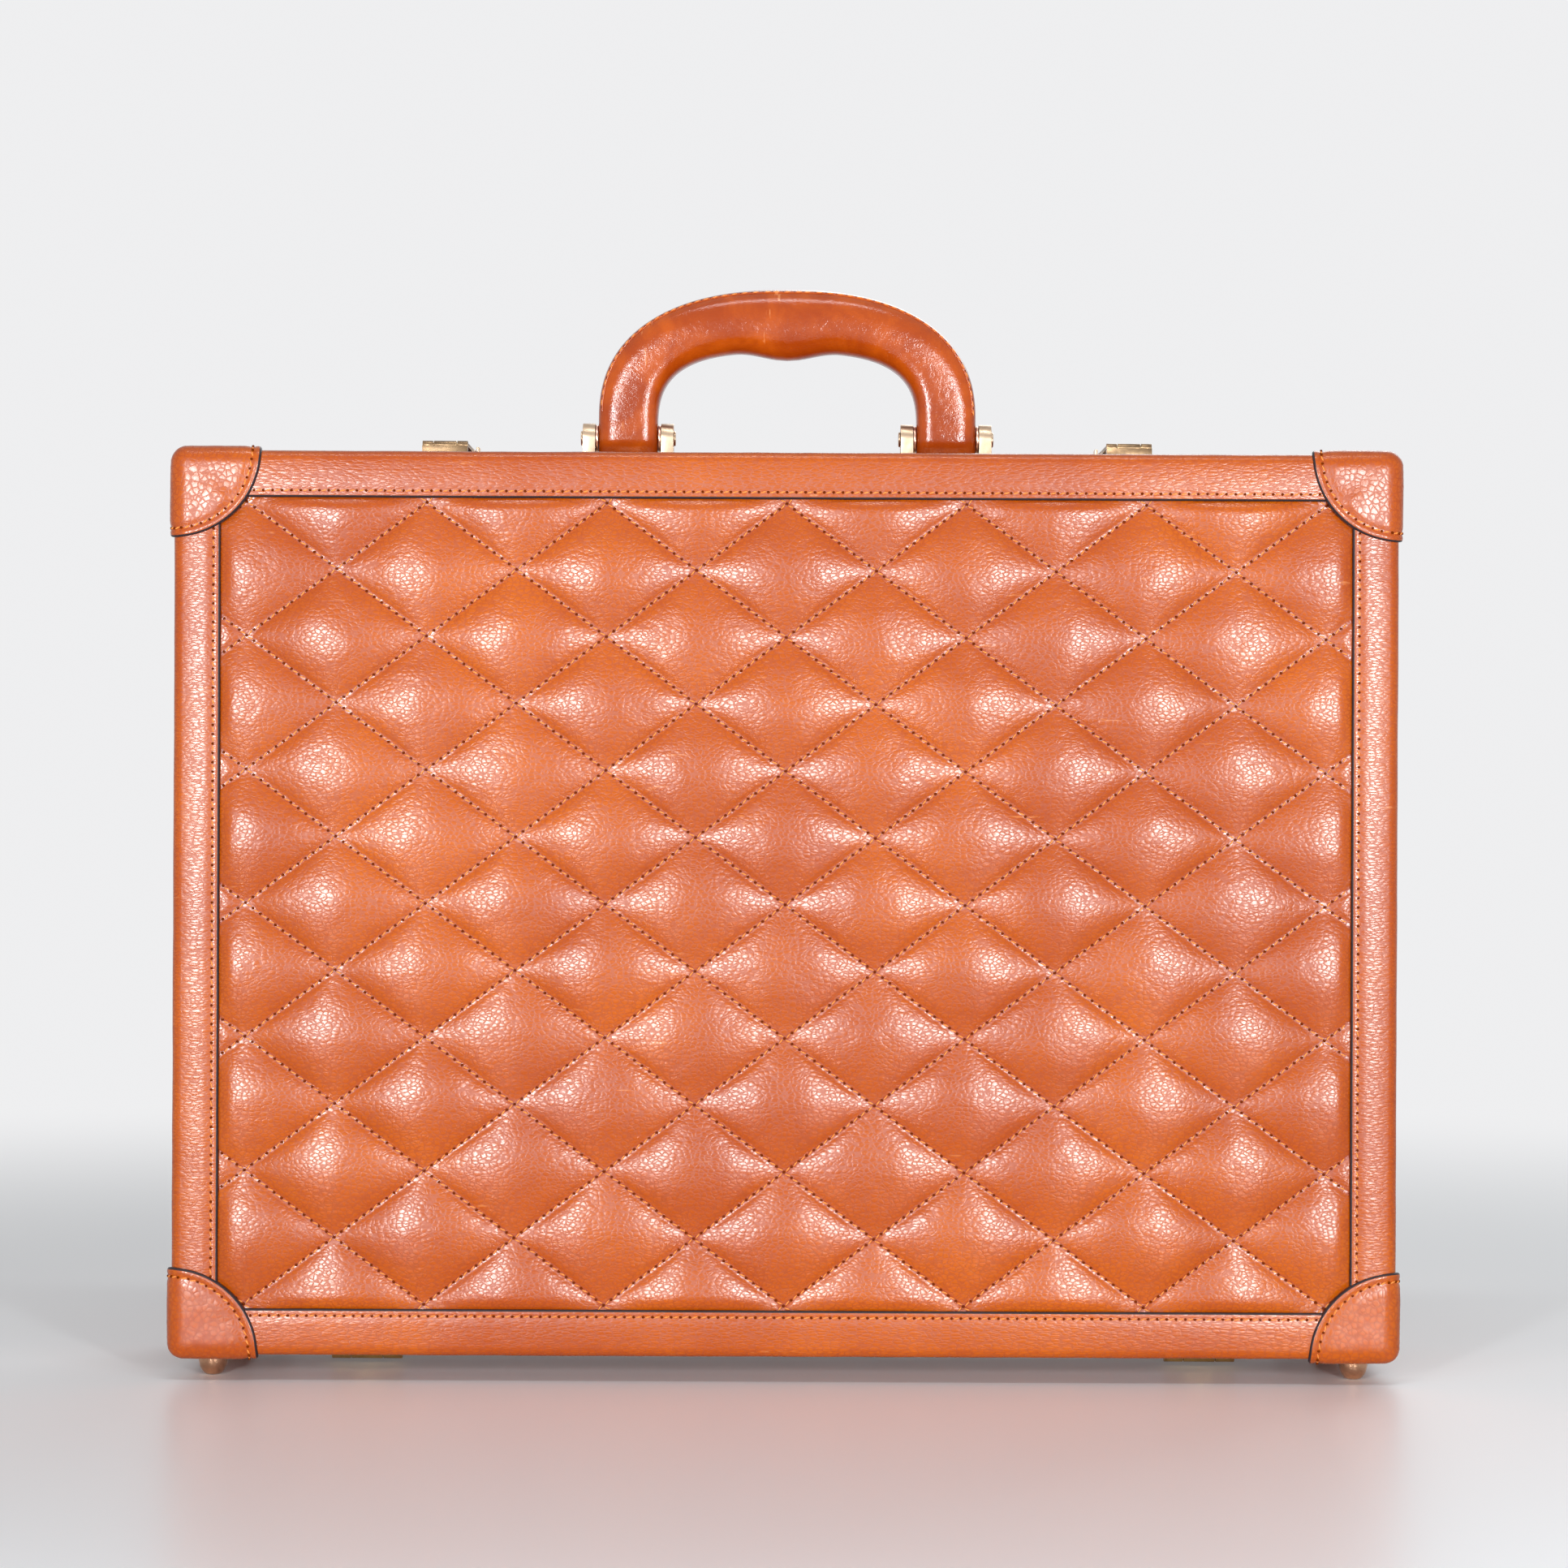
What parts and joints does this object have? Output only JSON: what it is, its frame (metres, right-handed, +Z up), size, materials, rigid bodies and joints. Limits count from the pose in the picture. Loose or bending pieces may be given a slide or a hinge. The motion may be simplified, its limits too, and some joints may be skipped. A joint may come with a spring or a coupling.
{
  "type": "attache case",
  "caption": "Hard attache case with quilted leather faces, a stitched leather handle, hasp latches, butt hinges and folding lid stays.",
  "frame": {"origin": "middle of the case's bounding box, on the plane that the four feet stand on", "axes": "+X along the width to the viewer's right, +Y from the lid's face to the base's face, +Z up to the handle"},
  "size_m": [0.4432, 0.1112, 0.401],
  "materials": {
    "leather": "glossy grained leather",
    "dark_leather": "satin leather",
    "suede": "napped suede",
    "birch": "plain plywood",
    "brass": "worn brass",
    "pale_brass": "satin champagne brass",
    "steel": "plain steel"
  },
  "bodies": {
    "base": {"base_frame": "birch", "base_panel": "birch", "base_quilt": "leather", "base_border": "leather", "base_lining": "suede", "base_lip": "dark_leather", "base_cap_top_left": "leather", "base_cap_top_right": "leather", "base_cap_bottom_left": "leather", "base_cap_bottom_right": "leather", "base_feet": "pale_brass", "base_hinge_left": "brass", "base_hinge_right": "brass", "base_hinge_screws": "brass", "hinge_pins": "steel", "handle_bracket_left": "pale_brass", "handle_bracket_right": "pale_brass", "bracket_screws": "brass", "handle_pins": "pale_brass", "latch_case_left": "brass", "latch_case_right": "brass", "latch_screws": "brass", "base_stay_posts": "brass", "slide_spring_left": "steel", "slide_spring_right": "steel"},
    "lid": {"lid_frame": "birch", "lid_panel": "birch", "lid_quilt": "leather", "lid_border": "leather", "lid_lining": "suede", "lid_pocket": "dark_leather", "lid_cap_top_left": "leather", "lid_cap_top_right": "leather", "lid_cap_bottom_left": "leather", "lid_cap_bottom_right": "leather", "lid_feet": "pale_brass", "lid_hinge_left": "brass", "lid_hinge_right": "brass", "lid_hinge_screws": "brass", "hasp_plate_left": "brass", "hasp_plate_right": "brass", "hasp_plate_screws": "brass", "hasp_pins": "steel", "lid_stay_posts": "brass"},
    "handle": {"handle_core": "steel", "handle_leather": "leather", "handle_washers": "pale_brass"},
    "hasp_left": {"hasp_left": "brass"},
    "thumb_slide_left": {"thumb_slide_left": "brass"},
    "stay_arm_left": {"stay_arm_left": "brass"},
    "stay_link_left": {"stay_link_left": "brass"},
    "hasp_right": {"hasp_right": "brass"},
    "thumb_slide_right": {"thumb_slide_right": "brass"},
    "stay_arm_right": {"stay_arm_right": "brass"},
    "stay_link_right": {"stay_link_right": "brass"}
  },
  "joints": [
    {"name": "lid_hinge", "type": "hinge", "parent": "base", "child": "lid", "pos_m": [0, -0.004, 0.0048], "axis": [1, 0, 0], "range_deg": [0, 95]},
    {"name": "handle_pivot", "type": "hinge", "parent": "base", "child": "handle", "pos_m": [0, 0.022, 0.3449], "axis": [1, 0, 0], "range_deg": [-85, 85]},
    {"name": "hasp_left_pivot", "type": "hinge", "parent": "lid", "child": "hasp_left", "pos_m": [-0.125, -0.024, 0.3385], "axis": [1, 0, 0], "range_deg": [0, 110]},
    {"name": "thumb_slide_left_travel", "type": "slide", "parent": "base", "child": "thumb_slide_left", "axis": [1, 0, 0], "range_m": [0, 0.002], "stiffness_N_per_m": 250, "springref_m": -0.001},
    {"name": "stay_arm_left_pivot", "type": "hinge", "parent": "base", "child": "stay_arm_left", "pos_m": [-0.2078, 0.034, 0.0488], "axis": [1, 0, 0], "range_deg": [0, 95]},
    {"name": "stay_elbow_left", "type": "hinge", "parent": "stay_arm_left", "child": "stay_link_left", "pos_m": [-0.2059, 0.01, 0.1328], "axis": [1, 0, 0], "range_deg": [-95, 0]},
    {"name": "hasp_right_pivot", "type": "hinge", "parent": "lid", "child": "hasp_right", "pos_m": [0.125, -0.024, 0.3385], "axis": [1, 0, 0], "range_deg": [0, 110]},
    {"name": "thumb_slide_right_travel", "type": "slide", "parent": "base", "child": "thumb_slide_right", "axis": [-1, 0, 0], "range_m": [0, 0.002], "stiffness_N_per_m": 250, "springref_m": -0.001},
    {"name": "stay_arm_right_pivot", "type": "hinge", "parent": "base", "child": "stay_arm_right", "pos_m": [0.2078, 0.034, 0.0488], "axis": [1, 0, 0], "range_deg": [0, 95]},
    {"name": "stay_elbow_right", "type": "hinge", "parent": "stay_arm_right", "child": "stay_link_right", "pos_m": [0.2059, 0.01, 0.1328], "axis": [1, 0, 0], "range_deg": [-95, 0]}
  ],
  "couplings": [
    {"joint": "stay_arm_left_pivot", "follows": "lid_hinge", "ratio": 1},
    {"joint": "stay_elbow_left", "follows": "lid_hinge", "ratio": -1},
    {"joint": "stay_arm_right_pivot", "follows": "lid_hinge", "ratio": 1},
    {"joint": "stay_elbow_right", "follows": "lid_hinge", "ratio": -1}
  ]
}
